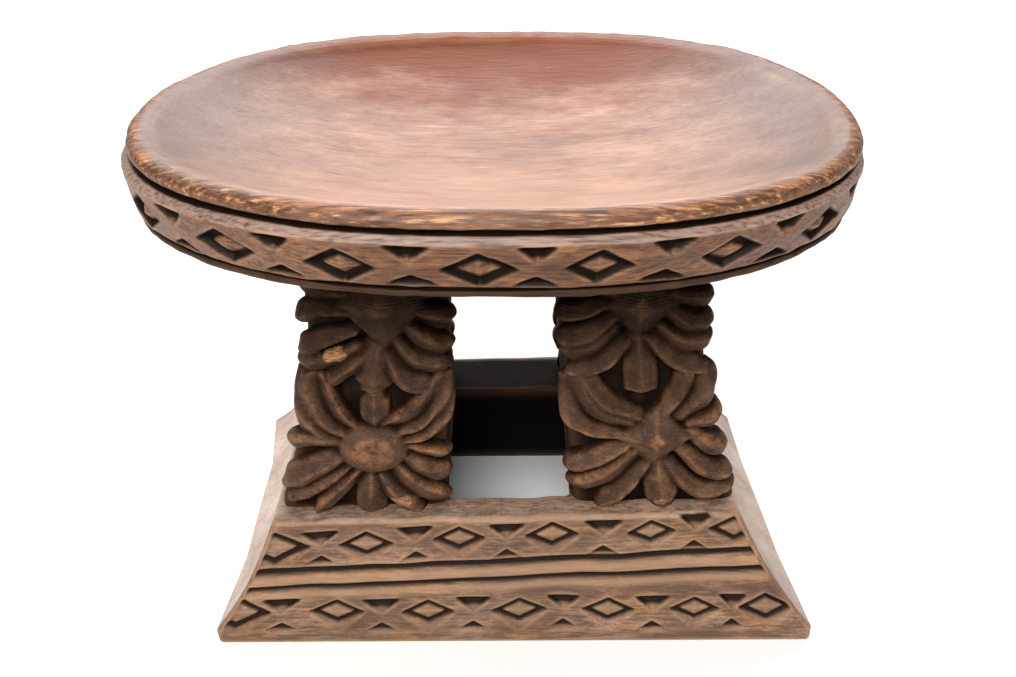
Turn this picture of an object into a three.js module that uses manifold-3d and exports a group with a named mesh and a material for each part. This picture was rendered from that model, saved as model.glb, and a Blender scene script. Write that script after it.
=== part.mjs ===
// A carved wooden stool: an oval dished seat on four relief-carved posts over a flared, hollow plinth.
// Millimetres, +Z up, X along the seat's length, front towards -Y, origin under the middle of the seat.
import * as THREE from 'three';
import { mergeVertices } from 'three/addons/utils/BufferGeometryUtils.js';
import Module from 'manifold-3d';

const wasm = await Module();
wasm.setup();

const seam = 0.3; // gap between neighbouring solids

// Seat
const seatLength = 440;
const seatDepth = 321;
const seatTop = 330; // height of the lip above the floor
const seatThickness = 62; // lip crest to the lowest point of the underside
const dishDepth = 38;
const dishHollow = 2.3; // how quickly the dish steepens towards the lip
const lipInnerDrop = 1.5; // lip crest to the dish's edge
const lipWidth = 17;
const rimOvalness = 2.45; // superellipse exponent of the outline

// Rim section: how far in from the widest outline, and how far below the lip crest
const lipCrestInset = 10;
const lipShoulder = { inset: 2.6, drop: 4.5 };
const lipFoot = { inset: 2.2, drop: 8 };
const upperGroove = { inset: 5, drop: 10 };
const stripTop = { inset: 1.4, drop: 12 };
const bandWidest = { inset: 0, drop: 19 };
const bandFoot = { inset: 8, drop: 42 };
const lowerGroove = { inset: 11, drop: 44 };
const bead = { inset: 8.8, drop: 47 };
const beadFoot = { inset: 12.5, drop: 51.5 };
const undersideFlat = 0.78; // share of the outline where the underside is flat
const undersideEdge = { inset: 17.5, drop: 52 };

// Base
const baseHeight = 87;
const baseShift = 10.5; // the base stands a little to the right of the seat's middle
const footLength = 402;
const footDepth = 244;
const ledgeLength = 302;
const ledgeDepth = 194;
const footEdge = 10; // height of the upright edge at the floor
const footRounding = 3;
const ledgeRounding = 2;
const baseCorner = 12;
const wellCorner = 0.12; // rounding of the well's corners, as a share of its half size
const sideBow = 5; // how much the sloping sides are hollowed
const ledgeWall = { front: 19.5, back: 45 }; // wall thickness round the well, at the ledge
const footWall = { front: 27, back: 41, side: 41 }; // and at the floor

// Posts
const postDepth = 56;
const postStepBack = 15; // ledge's front edge to a post's outward face
const postAxisLow = 9.5; // middle of the four posts, at the ledge and under the seat
const postAxisHigh = 6;
const gapHalfLow = 41; // half the opening between left and right posts
const gapHalfHigh = 30;
const postSideMargin = 1; // ledge's end to a post's outer side
const postTaper = 32.5; // how far a post's outer side draws in towards the seat
const postFlare = 2.1; // how quickly the outer side sweeps out towards the ledge
const postCorner = 5;
const postLevels = 7;

// Reliefs
const reliefTurn = 0.525; // share of the post's height where the lower relief ends
const legDepth = 10;
const bossDepth = 15;
const legWidth = 14;
const tipReach = 2.5; // leg tips stand this far past the post's outer side
const innerMargin = 0.5; // and stop this short of its inner side
const dropRoot = 0.75; // the hanging leg starts this share of the boss's half height down
const legSpread = 48; // half the width that the leg points below are drawn for
const rootShare = 0.5; // a leg starts this share of the way out to its first point, inside the boss
const lowerRelief = {
  rise: 0.293, // share of the post's height where the boss sits
  boss: { halfWidth: 24, halfHeight: 21 },
  drop: { length: 37, width: 19 },
  legs: [
    [[12, -20], [25, -35], [38, -50]],
    [[18, -14], [34, -28], [48, -41]],
    [[22, -5], [36, -16], [48, -27]],
    [[24, 3], [37, 6], [48, 0]],
    [[18, 4], [38, 12], [45, 46]],
    [[15, 12], [30, 24], [35, 48]],
    [[11, 20], [22, 32], [25, 48]],
  ],
};
const upperRelief = {
  rise: 0.84,
  boss: { halfWidth: 26, halfHeight: 30 },
  drop: { length: 33, width: 20 },
  legs: [
    [[10, -30], [19, -43], [34, -54]],
    [[16, -26], [29, -37], [48, -41]],
    [[19, -15], [33, -22], [48, -28]],
    [[24, -3], [36, 0], [48, -6]],
    [[20, 8], [33, 15], [46, 23]],
  ],
};

// Chip carving
const chipDepth = 4;
const rimChip = { length: 44, height: 20, wedgeLength: 30, wedgeHeight: 13 };
const rimPitch = 68.2;
const rimMotifShift = -9; // the motif nearest the front middle stands this far along
const baseChip = { length: 36, height: 17, wedgeLength: 25, wedgeHeight: 9 };
const upperRegister = { height: 73, pitch: 60, shift: -3 };
const lowerRegister = { height: 24, pitch: 59, shift: 5 };
const chipHeart = { share: 0.55, rise: 0.8, sink: 0.9 }; // a lozenge's raised heart, against the whole chip
const bedDepth = 1.02; // hearts are cut off this many chip depths below the face
const chipLand = 0.5; // a lozenge's tips and its neighbouring wedges' bases differ by this much in height

// Tied sizes
const undersideLevel = seatTop - seatThickness;
const postFace = ledgeDepth / 2 - postStepBack; // middle of the stool to a post's outward face
const postReachLow = ledgeLength / 2 - postSideMargin; // axis to a post's outer side
const postReachHigh = postReachLow - postTaper;
const wellMargin = 0.5; // the well stays this much narrower than the opening between the posts
const postFoot = baseHeight + seam;
const postHead = undersideLevel - seam;

const solidOf = (geometry) => {
  const bare = geometry.clone();
  bare.deleteAttribute('normal');
  bare.deleteAttribute('uv');
  const merged = mergeVertices(bare, 1e-4);
  const mesh = new wasm.Mesh({
    numProp: 3,
    vertProperties: new Float32Array(merged.attributes.position.array),
    triVerts: new Uint32Array(merged.index.array),
  });
  return new wasm.Manifold(mesh);
};

const geometryOf = (solid) => {
  const mesh = solid.getMesh();
  const geometry = new THREE.BufferGeometry();
  geometry.setAttribute('position', new THREE.BufferAttribute(mesh.vertProperties, 3));
  geometry.setIndex(new THREE.BufferAttribute(mesh.triVerts, 1));
  return geometry;
};

const bend = (geometry, move) => {
  const places = geometry.attributes.position;
  for (let i = 0; i < places.count; i += 1) {
    const moved = move(places.getX(i), places.getY(i), places.getZ(i));
    places.setXYZ(i, ...moved);
  }
  return geometry;
};

const unite = (solids) => solids.reduce((whole, piece) => whole.add(piece));

const mix = THREE.MathUtils.lerp;

// The seat's outline at a share of its full size: near the rim the inset is even all round.
const ovalPoint = (share, angle) => {
  const halfLength = seatLength / 2;
  const halfDepth = seatDepth / 2;
  const power = 2 / rimOvalness;
  const along = Math.sign(Math.cos(angle)) * Math.abs(Math.cos(angle)) ** power;
  const across = Math.sign(Math.sin(angle)) * Math.abs(Math.sin(angle)) ** power;
  const evenInset = (halfLength - halfDepth) * (1 - share) * share ** 2;
  return [(halfLength * share + evenInset) * along, halfDepth * share * across];
};

const shareAtInset = (inset) => 1 - inset / (seatDepth / 2);

const rimPoint = ({ inset, drop }) => new THREE.Vector2(shareAtInset(inset), seatTop - drop);

const dishPoint = (share) => {
  const edge = shareAtInset(lipWidth);
  const floor = seatTop - dishDepth;
  return new THREE.Vector2(edge * share, floor + (dishDepth - lipInnerDrop) * share ** dishHollow);
};

const seatSolid = () => {
  const profile = [
    new THREE.Vector2(0, undersideLevel),
    new THREE.Vector2(undersideFlat / 2, undersideLevel),
    new THREE.Vector2(undersideFlat, undersideLevel),
    rimPoint(undersideEdge),
    rimPoint(beadFoot),
    rimPoint(bead),
    rimPoint(lowerGroove),
    rimPoint(bandFoot),
    rimPoint(bandWidest),
    rimPoint(stripTop),
    rimPoint(upperGroove),
    rimPoint(lipFoot),
    rimPoint(lipShoulder),
    rimPoint({ inset: lipCrestInset, drop: 0 }),
    ...[1, 0.9, 0.78, 0.62, 0.42, 0.2].map(dishPoint),
    new THREE.Vector2(0, seatTop - dishDepth),
  ];
  const turned = new THREE.LatheGeometry(profile, 64);
  const laidOut = bend(turned, (x, y, z) => {
    const share = Math.hypot(x, z);
    const angle = Math.atan2(z, x);
    const [along, across] = ovalPoint(share, angle);
    return [along, -across, y];
  });
  return solidOf(laidOut);
};

// A lozenge-shaped chip with a raised heart, lying in the XZ plane with its depth along Y.
const lozengeChip = (chip) => {
  const outer = new THREE.OctahedronGeometry(1).scale(chip.length / 2, chipDepth, chip.height / 2);
  const heart = new THREE.OctahedronGeometry(1);
  const { share, rise, sink } = chipHeart;
  heart.scale((chip.length * share) / 2, chipDepth * rise, (chip.height * share) / 2);
  const bed = new THREE.BoxGeometry(chip.length, chipDepth * 2, chip.height);
  bed.translate(0, chipDepth * bedDepth, 0);
  const peak = solidOf(heart.translate(0, chipDepth * sink, 0)).subtract(solidOf(bed));
  return solidOf(outer).subtract(peak);
};

// A three-cornered chip that points up or down.
const wedgeChip = (chip, up) => {
  const tall = chip.wedgeHeight;
  const wedge = new THREE.OctahedronGeometry(1).scale(chip.wedgeLength / 2, chipDepth, tall);
  const keep = new THREE.BoxGeometry(chip.length, chipDepth * 4, tall);
  keep.translate(0, 0, (up * tall) / 2);
  return solidOf(wedge).intersect(solidOf(keep));
};

const placeSolid = (solid, position, turnZ, tiltX) => {
  const place = new THREE.Matrix4().makeRotationFromEuler(new THREE.Euler(tiltX, 0, turnZ, 'ZYX'));
  place.setPosition(position);
  return solid.transform(place.elements);
};

const rimChips = () => {
  const middle = (bandWidest.drop + bandFoot.drop) / 2;
  const middleInset = (bandWidest.inset + bandFoot.inset) / 2;
  const tilt = Math.atan2(bandFoot.inset - bandWidest.inset, bandFoot.drop - bandWidest.drop);
  const share = shareAtInset(middleInset);
  const steps = 1440;
  const walk = [];
  let length = 0;
  for (let i = 0; i < steps; i += 1) {
    const from = ovalPoint(share, (i / steps) * Math.PI * 2);
    const to = ovalPoint(share, ((i + 1) / steps) * Math.PI * 2);
    walk.push({ from, to, length });
    length += Math.hypot(to[0] - from[0], to[1] - from[1]);
  }
  const chips = [];
  const halfSteps = 2 * Math.round(length / rimPitch);
  const frontMiddle = length * 0.75;
  for (let i = 0; i < halfSteps; i += 1) {
    const target = (frontMiddle + rimMotifShift + (length * i) / halfSteps) % length;
    const spot = walk.findLast((step) => step.length <= target);
    const turn = Math.atan2(spot.to[1] - spot.from[1], spot.to[0] - spot.from[0]);
    const at = new THREE.Vector3(spot.from[0], spot.from[1], seatTop - middle);
    if (i % 2 === 0) {
      chips.push(placeSolid(lozengeChip(rimChip), at, turn, tilt));
    } else {
      const rise = rimChip.height / 2 + chipLand;
      const lean = rise * Math.sin(tilt);
      const outward = new THREE.Vector2(Math.sin(turn), -Math.cos(turn)).multiplyScalar(lean);
      const above = new THREE.Vector3(at.x + outward.x, at.y + outward.y, at.z + rise);
      const below = new THREE.Vector3(at.x - outward.x, at.y - outward.y, at.z - rise);
      chips.push(placeSolid(wedgeChip(rimChip, -1), above, turn, tilt));
      chips.push(placeSolid(wedgeChip(rimChip, 1), below, turn, tilt));
    }
  }
  return chips;
};

const roundedOutline = (halfX, halfY, radius) => {
  const outline = new THREE.Shape();
  outline.moveTo(halfX - radius, -halfY);
  outline.absarc(halfX - radius, -halfY + radius, radius, -Math.PI / 2, 0);
  outline.absarc(halfX - radius, halfY - radius, radius, 0, Math.PI / 2);
  outline.absarc(-halfX + radius, halfY - radius, radius, Math.PI / 2, Math.PI);
  outline.absarc(-halfX + radius, -halfY + radius, radius, Math.PI, Math.PI * 1.5);
  return outline;
};

// A column of unit outline whose levels and half-sizes come from a list of rings.
const stack = (rings, corner, curveSegments) => {
  const geometry = new THREE.ExtrudeGeometry(roundedOutline(1, 1, corner), {
    depth: rings.length - 1,
    steps: rings.length - 1,
    bevelEnabled: false,
    curveSegments,
  });
  return bend(geometry, (x, y, z) => {
    const ring = rings[Math.round(z)];
    return [ring.x + x * ring.halfX, ring.y + y * ring.halfY, ring.z];
  });
};

const slopeShare = (z) => Math.max(0, (z - footEdge) / (baseHeight - footEdge));

const baseHalfX = (z) => {
  const share = slopeShare(z);
  const hollow = sideBow * Math.sin(Math.PI * share);
  return mix(footLength / 2, ledgeLength / 2, share) - hollow;
};

const baseHalfY = (z) => mix(footDepth / 2, ledgeDepth / 2, slopeShare(z));

const baseSolid = () => {
  const levels = [0, footRounding, footEdge, 25, 40, 55, 70, baseHeight - ledgeRounding, baseHeight];
  const outerRings = levels.map((z) => {
    const rounding = z === 0 ? footRounding : (z === baseHeight ? ledgeRounding : 0);
    return { x: baseShift, y: 0, halfX: baseHalfX(z) - rounding, halfY: baseHalfY(z) - rounding, z };
  });
  const outer = solidOf(stack(outerRings, baseCorner / (footDepth / 2), 3));
  const over = 5; // the cutter runs past the base, above and below
  const wellRing = (z) => {
    const share = z / baseHeight;
    const front = mix(footDepth / 2 - footWall.front, ledgeDepth / 2 - ledgeWall.front, share);
    const back = mix(footDepth / 2 - footWall.back, ledgeDepth / 2 - ledgeWall.back, share);
    return {
      x: mix(baseShift, postAxisLow, share),
      y: (back - front) / 2,
      halfX: mix(footLength / 2 - footWall.side, gapHalfLow - wellMargin, share),
      halfY: (back + front) / 2,
      z,
    };
  };
  const well = solidOf(stack([-over, 0, baseHeight, baseHeight + over].map(wellRing), wellCorner, 2));
  const chips = [];
  for (const register of [upperRegister, lowerRegister]) {
    const rise = baseHalfY(register.height - 1) - baseHalfY(register.height + 1);
    const tilt = Math.atan2(rise, 2);
    for (const side of [1, -1]) {
      const turn = side > 0 ? 0 : Math.PI;
      const run = 2 * baseHalfX(register.height);
      const count = Math.floor((run - register.pitch) / register.pitch);
      const half = baseChip.height / 2 + chipLand;
      for (let i = -count; i <= count; i += 1) {
        const x = baseShift + side * (register.shift + (i * register.pitch) / 2);
        const spot = (z) => new THREE.Vector3(x, -side * baseHalfY(z), z);
        if ((i + count) % 2 === 1) {
          chips.push(placeSolid(lozengeChip(baseChip), spot(register.height), turn, -tilt));
        } else {
          chips.push(placeSolid(wedgeChip(baseChip, -1), spot(register.height + half), turn, -tilt));
          chips.push(placeSolid(wedgeChip(baseChip, 1), spot(register.height - half), turn, -tilt));
        }
      }
    }
  }
  return outer.subtract(well).subtract(unite(chips));
};

const heightShare = (z) => (z - baseHeight) / (undersideLevel - baseHeight);

const postSpan = (z) => {
  const share = heightShare(z);
  const axis = mix(postAxisLow, postAxisHigh, share);
  const inner = mix(gapHalfLow, gapHalfHigh, share);
  const reach = postReachHigh + (postReachLow - postReachHigh) * (1 - share) ** postFlare;
  return { axis, inner, reach };
};

const postSolid = (sideX, sideY) => {
  const rings = [];
  for (let i = 0; i <= postLevels; i += 1) {
    const z = mix(postFoot, postHead, i / postLevels);
    const { axis, inner, reach } = postSpan(z);
    rings.push({
      x: axis + (sideX * (inner + reach)) / 2,
      y: sideY * (postFace - postDepth / 2),
      halfX: (reach - inner) / 2,
      halfY: postDepth / 2,
      z,
    });
  }
  return stack(rings, postCorner / (postDepth / 2), 2);
};

// A petal-shaped leg along a smooth line through its knots on a post's face. Its back half is cut off later.
const legSolid = (knots, width, depth) => {
  const line = new THREE.SplineCurve(knots);
  const petal = new THREE.SphereGeometry(1, 8, 6).rotateZ(-Math.PI / 2);
  return solidOf(bend(petal, (x, y, z) => {
    const share = (x + 1) / 2;
    const spot = line.getPoint(share);
    const heading = line.getTangent(share);
    const aside = (z * width) / 2;
    return [spot.x - heading.y * aside, y * depth, spot.y + heading.x * aside];
  }));
};

const bossSolid = (centre, halfWidth, halfHeight, round) => {
  const boss = round
    ? new THREE.SphereGeometry(1, 12, 8)
    : new THREE.OctahedronGeometry(1.15, 0);
  boss.scale(halfWidth, bossDepth, halfHeight);
  boss.translate(centre.x, 0, centre.y);
  return solidOf(boss);
};

const reliefSolid = (sideX, sideY, relief, round, low, high) => {
  const height = mix(baseHeight, undersideLevel, relief.rise);
  const view = sideX * sideY < 0 ? -1 : 1; // the post's outer side, as seen facing it
  const outerSide = -view;
  const spanAt = postSpan(height);
  const half = (spanAt.reach - spanAt.inner) / 2;
  const centre = new THREE.Vector2(0, 0);
  const pieces = [bossSolid(centre, relief.boss.halfWidth, relief.boss.halfHeight, round)];
  const dropTop = new THREE.Vector2(0, -relief.boss.halfHeight * dropRoot);
  const dropEnd = new THREE.Vector2(0, dropTop.y - relief.drop.length);
  pieces.push(legSolid([dropTop, dropEnd], relief.drop.width, legDepth));
  for (const side of [-1, 1]) {
    const edge = half + (side === outerSide ? tipReach : -innerMargin);
    for (const points of relief.legs) {
      const [root, ...rest] = points;
      const inBoss = new THREE.Vector2(side * root[0], root[1]).multiplyScalar(rootShare);
      const outside = rest.map(([x, y]) => new THREE.Vector2((side * x * edge) / legSpread, y));
      const knots = [inBoss, ...outside];
      pieces.push(legSolid(knots, legWidth, legDepth));
    }
  }
  const bigger = 400; // larger than any relief
  const clearance = new THREE.BoxGeometry(bigger, bigger, bigger);
  const windowBox = new THREE.BoxGeometry(bigger, 2 * bossDepth + 2, high - low);
  windowBox.translate(0, 0, (high + low) / 2 - height);
  clearance.translate(0, bigger / 2 - seam, 0);
  const carved = unite(pieces).subtract(solidOf(clearance)).intersect(solidOf(windowBox));
  const middle = spanAt.axis + (sideX * (spanAt.inner + spanAt.reach)) / 2;
  const at = new THREE.Vector3(middle, sideY * postFace, height);
  return placeSolid(carved, at, sideY < 0 ? 0 : Math.PI, 0);
};

const wood = (color, roughness) => new THREE.MeshStandardMaterial({ color, roughness, metalness: 0 });
const seatWood = wood('#8a5a42', 0.55);
const postWood = wood('#3a261b', 0.7);
const reliefWood = wood('#57392a', 0.65);
const baseWood = wood('#6d4d3a', 0.7);

const stool = new THREE.Group();

const addPiece = (name, geometry, material) => {
  const mesh = new THREE.Mesh(geometry, material);
  mesh.name = name;
  stool.add(mesh);
};

addPiece('seat', geometryOf(seatSolid().subtract(unite(rimChips()))), seatWood);
addPiece('base', geometryOf(baseSolid()), baseWood);

const turnHeight = mix(baseHeight, undersideLevel, reliefTurn);
for (const [rowName, sideY] of [['front', -1], ['back', 1]]) {
  for (const [sideName, sideX] of [['left', -1], ['right', 1]]) {
    const corner = `${rowName}_${sideName}`;
    addPiece(`post_${corner}`, postSolid(sideX, sideY), postWood);
    const roundBoss = sideX * sideY > 0;
    const lower = reliefSolid(sideX, sideY, lowerRelief, roundBoss, postFoot, turnHeight - seam / 2);
    const upper = reliefSolid(sideX, sideY, upperRelief, false, turnHeight + seam / 2, postHead);
    addPiece(`relief_${corner}_lower`, geometryOf(lower), reliefWood);
    addPiece(`relief_${corner}_upper`, geometryOf(upper), reliefWood);
  }
}

export default stool;
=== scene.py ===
import math

import bpy
import numpy as np
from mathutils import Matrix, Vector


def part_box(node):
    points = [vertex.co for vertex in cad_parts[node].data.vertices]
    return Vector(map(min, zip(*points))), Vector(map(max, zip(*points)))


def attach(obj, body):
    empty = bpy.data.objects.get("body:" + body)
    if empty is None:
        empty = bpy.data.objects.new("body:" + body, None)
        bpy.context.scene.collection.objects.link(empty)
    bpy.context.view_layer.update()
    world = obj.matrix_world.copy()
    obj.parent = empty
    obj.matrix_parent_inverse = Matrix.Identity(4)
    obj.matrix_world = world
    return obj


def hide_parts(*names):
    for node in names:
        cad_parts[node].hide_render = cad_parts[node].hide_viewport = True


# A wooden stool carved from one block: dished oval seat, four posts with leggy reliefs, flared hollow plinth.
# Lengths in the dictionaries are millimetres; meshes are metres, in the frame's own places.
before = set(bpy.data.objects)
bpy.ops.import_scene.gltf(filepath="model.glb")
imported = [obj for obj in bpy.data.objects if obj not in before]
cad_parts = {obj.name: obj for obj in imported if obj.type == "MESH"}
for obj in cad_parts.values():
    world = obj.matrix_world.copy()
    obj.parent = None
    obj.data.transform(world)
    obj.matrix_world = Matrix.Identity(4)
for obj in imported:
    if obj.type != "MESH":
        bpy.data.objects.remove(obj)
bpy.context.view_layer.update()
mm = 0.001
print("stool: frame loaded,", len(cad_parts), "nodes")


def seededLattice(seed, size=24):
    return np.random.default_rng(seed).random((size, size, size))


# Smooth noise from 0 to 1 with bumps of the given size.
def lumps(points, scale, seed):
    lattice = seededLattice(seed)
    size = lattice.shape[0]
    spots = np.asarray(points, float) / scale
    low = np.floor(spots).astype(int)
    part = spots - low
    part = part * part * (3 - 2 * part)
    total = np.zeros(spots.shape[:-1])
    for corner in range(8):
        step = np.array([corner & 1, (corner >> 1) & 1, (corner >> 2) & 1])
        index = (low + step) % size
        weight = np.prod(np.where(step, part, 1 - part), axis=-1)
        total += weight * lattice[index[..., 0], index[..., 1], index[..., 2]]
    return total


def blend(a, b, share):
    return a + (b - a) * share


def ease(value, low, high):
    share = np.clip((value - low) / (high - low), 0, 1)
    return share * share * (3 - 2 * share)


# Points spaced evenly along a line through the given ones.
def evenLine(points, step):
    points = np.asarray(points, float)
    lengths = np.concatenate([[0], np.cumsum(np.linalg.norm(np.diff(points, axis=0), axis=1))])
    count = max(2, int(round(lengths[-1] / step)) + 1)
    places = np.linspace(0, lengths[-1], count)
    return np.stack([np.interp(places, lengths, points[:, k]) for k in range(points.shape[1])], 1)


# Rounds a line's corners a little, keeping its ends.
def softLine(points, passes):
    for _ in range(passes):
        inner = 0.25 * points[:-2] + 0.5 * points[1:-1] + 0.25 * points[2:]
        points = np.concatenate([points[:1], inner, points[-1:]])
    return points


# One closed body from bands of rings. A band is rows x columns x 3, in millimetres, and wraps round.
def skinMesh(name, bands, loop=False):
    points = []
    rings = []
    start = 0
    for band in bands:
        for row in band:
            rings.append(start + np.arange(len(row)))
            points.append(row)
            start += len(row)
    faces = []
    pairs = list(zip(rings[:-1], rings[1:]))
    if loop:
        pairs.append((rings[-1], rings[0]))
    for lower, upper in pairs:
        if len(lower) == len(upper):
            quads = np.stack([lower, np.roll(lower, -1), np.roll(upper, -1), upper], 1)
            faces.extend(quads.tolist())
            continue
        fine, coarse, turned = (lower, upper, False) if len(lower) > len(upper) else (upper, lower, True)
        each = len(fine) // len(coarse)
        nextCoarse = np.roll(coarse, -1)
        for k in range(len(coarse)):
            run = [int(fine[(k * each + j) % len(fine)]) for j in range(each + 1)]
            face = run + [int(nextCoarse[k]), int(coarse[k])]
            faces.append(face[::-1] if turned else face)
    if not loop:
        ends = (points[0], points[-1])
        for ring, turned in ((rings[0], True), (rings[-1], False)):
            points.append(np.mean(ends[0 if turned else 1], axis=0)[None])
            pole = start
            start += 1
            for a, b in zip(ring.tolist(), np.roll(ring, -1).tolist()):
                faces.append([b, a, pole] if turned else [a, b, pole])
    mesh = bpy.data.meshes.new(name)
    mesh.from_pydata((np.concatenate(points) * mm).tolist(), [], faces)
    mesh.validate()
    facesOut(mesh)
    mesh.shade_smooth()
    piece = bpy.data.objects.new(name, mesh)
    bpy.context.scene.collection.objects.link(piece)
    return piece


def facesOut(mesh):
    mesh.calc_loop_triangles()
    corners = np.empty(len(mesh.loop_triangles) * 3, int)
    mesh.loop_triangles.foreach_get("vertices", corners)
    places = meshPoints(mesh)[corners.reshape(-1, 3)]
    volume = np.einsum("ij,ij->i", places[:, 0], np.cross(places[:, 1], places[:, 2])).sum()
    if volume < 0:
        mesh.flip_normals()
    mesh.update()


def meshPoints(mesh):
    flat = np.empty(len(mesh.vertices) * 3)
    mesh.vertices.foreach_get("co", flat)
    return flat.reshape(-1, 3)


def meshNormals(mesh):
    flat = np.empty(len(mesh.vertices) * 3)
    mesh.vertex_normals.foreach_get("vector", flat)
    return flat.reshape(-1, 3)


def keepValues(mesh, name, values):
    attribute = mesh.attributes.new(name, "FLOAT", "POINT")
    attribute.data.foreach_set("value", np.ascontiguousarray(values, np.float32).ravel())


# Averages a value over neighbouring points.
def spread(mesh, values, rounds):
    ends = np.empty(len(mesh.edges) * 2, int)
    mesh.edges.foreach_get("vertices", ends)
    a, b = ends.reshape(-1, 2).T
    count = np.bincount(np.concatenate([a, b]), minlength=len(values)) + 1.0
    flat = values if values.ndim == 2 else values[:, None]
    for _ in range(rounds):
        total = flat.copy()
        for k in range(flat.shape[1]):
            total[:, k] += np.bincount(a, flat[b, k], len(flat)) + np.bincount(b, flat[a, k], len(flat))
        flat = total / count[:, None]
    return flat if values.ndim == 2 else flat[:, 0]


# How far each point stands out of, or lies below, its surroundings, as 0 to 1 over reach millimetres.
def crestAndHollow(mesh, rounds, reach):
    points = meshPoints(mesh)
    around = spread(mesh, points, rounds)
    outward = np.einsum("ij,ij->i", points - around, meshNormals(mesh)) / mm
    return np.clip(outward / reach, 0, 1), np.clip(-outward / reach, 0, 1)


# A diamond pocket round a raised heart, with a broad bevel under it. Gives depth, and a dark mask round the
# heart and along the pocket's edge that is partly grime and partly painted shade.
def lozengeCut(s, h, chip):
    a, b = chip["half"]
    heartA, heartB = chip["heart"]
    ring = np.abs(s) / a + np.abs(h) / b
    inner = np.abs(s) / heartA + np.abs(h + chip["heartShift"]) / heartB
    heart = blend(chip["heartDepth"], chip["heartEdge"], np.clip(inner, 0, 1))
    gap = np.clip(inner - 1, 0, None)
    floor = np.minimum(1, chip["heartEdge"] + gap * 3)
    wall = (1 - ring) / chip["wall"]
    outer = np.abs(s) / (a * 1.04) + np.abs(h) / (b * chip["bevelReach"])
    apart = np.clip(ring - 1, 0, None)
    bevel = chip["bevelDepth"] * (1 - apart / (apart + np.clip(1 - outer, 1e-4, None)))
    bevel = np.where((h < 0) & (outer < 1), bevel, 0)
    inside = np.where(inner < 1, heart, np.minimum(floor, np.maximum(wall, bevel)))
    depth = np.where(ring < 1, inside, bevel)
    grimeAndShade = np.where(ring < 1, ease(inner, 0.8, 1.04), ease(-ring, -1.1, -1.0))
    return chip["depth"] * np.clip(depth, 0, 1), grimeAndShade


# Rounds the arrises of a grid of cuts, as wear does.
def softened(field):
    for _ in range(2):
        sides = np.pad(field, ((1, 1), (0, 0)), mode="edge")
        field = 0.25 * sides[:-2] + 0.5 * field + 0.25 * sides[2:]
        field = 0.25 * np.roll(field, 1, axis=1) + 0.5 * field + 0.25 * np.roll(field, -1, axis=1)
    return field


# A three-cornered pocket whose floor falls away towards its upper end.
def wedgeCut(s, h, wedge, up):
    tall, half = wedge["tall"], wedge["half"]
    rise = (h - wedge["base"]) * up / tall
    side = (1 - rise) - np.abs(s) / half
    fall = rise if up > 0 else 1 - rise
    floor = wedge["shallow"] + (1 - wedge["shallow"]) * fall
    endWall = (rise + 0.001) / 0.12 if up < 0 else rise * 9
    depth = np.minimum(np.minimum(floor, side / wedge["wall"]), np.clip(endWall, 0, None))
    depth = np.where(rise > 0, np.clip(depth, 0, 1), 0)
    # dark: painted shade over the pocket's deep end and its edges, partly grime
    dark = ease(fall, 0.9 - wedge["grimeAndShade"], 1.15 - wedge["grimeAndShade"])
    if up > 0:
        edges = ease(side, -0.12, -0.02) * ease(rise, -0.3, -0.1) * (rise < 1)
        dark = np.where(wedge["grimeAndShade"] >= 1, edges, dark * ease(depth, 0, 0.3))
    if up < 0:
        dark = np.where(depth > 0, dark, 0)
    return wedge["depth"] * depth, dark * (rise < 1)


# A row of diamonds with pockets between them, each cut by hand a little differently.
def registerCut(s, h, chip, middles, seed, sizes=None):
    middles = np.asarray(middles, float)
    sizes = np.ones(len(middles)) if sizes is None else sizes
    gaps = (middles[1:] + middles[:-1]) / 2
    dice = np.random.default_rng(seed).normal(size=(len(middles) + 1, 6)) * chip["wander"]
    near = np.clip(np.searchsorted(gaps, s), 0, len(middles) - 1)
    own = dice[near]
    size = (1 + 0.05 * own[..., 2]) * np.asarray(sizes)[near]
    depth, grimeAndShade = lozengeCut((s - middles[near] - own[..., 0]) / size, (h - 0.5 * own[..., 1]) / size, chip)
    between = np.clip(np.searchsorted(middles, s) - 1, 0, len(gaps) - 1)
    own = dice[between]
    room = (middles[1:] - middles[:-1])[between] / chip["pitch"]
    across = (s - gaps[between] - own[..., 3]) / room
    for wedge, up in ((chip["upper"], -1), (chip["lower"], 1)):
        cut, dirtAndShade = wedgeCut(across, h - 0.4 * own[..., 4], wedge, up)
        depth, grimeAndShade = np.maximum(depth, cut), np.maximum(grimeAndShade, dirtAndShade)
    return depth, grimeAndShade


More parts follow.
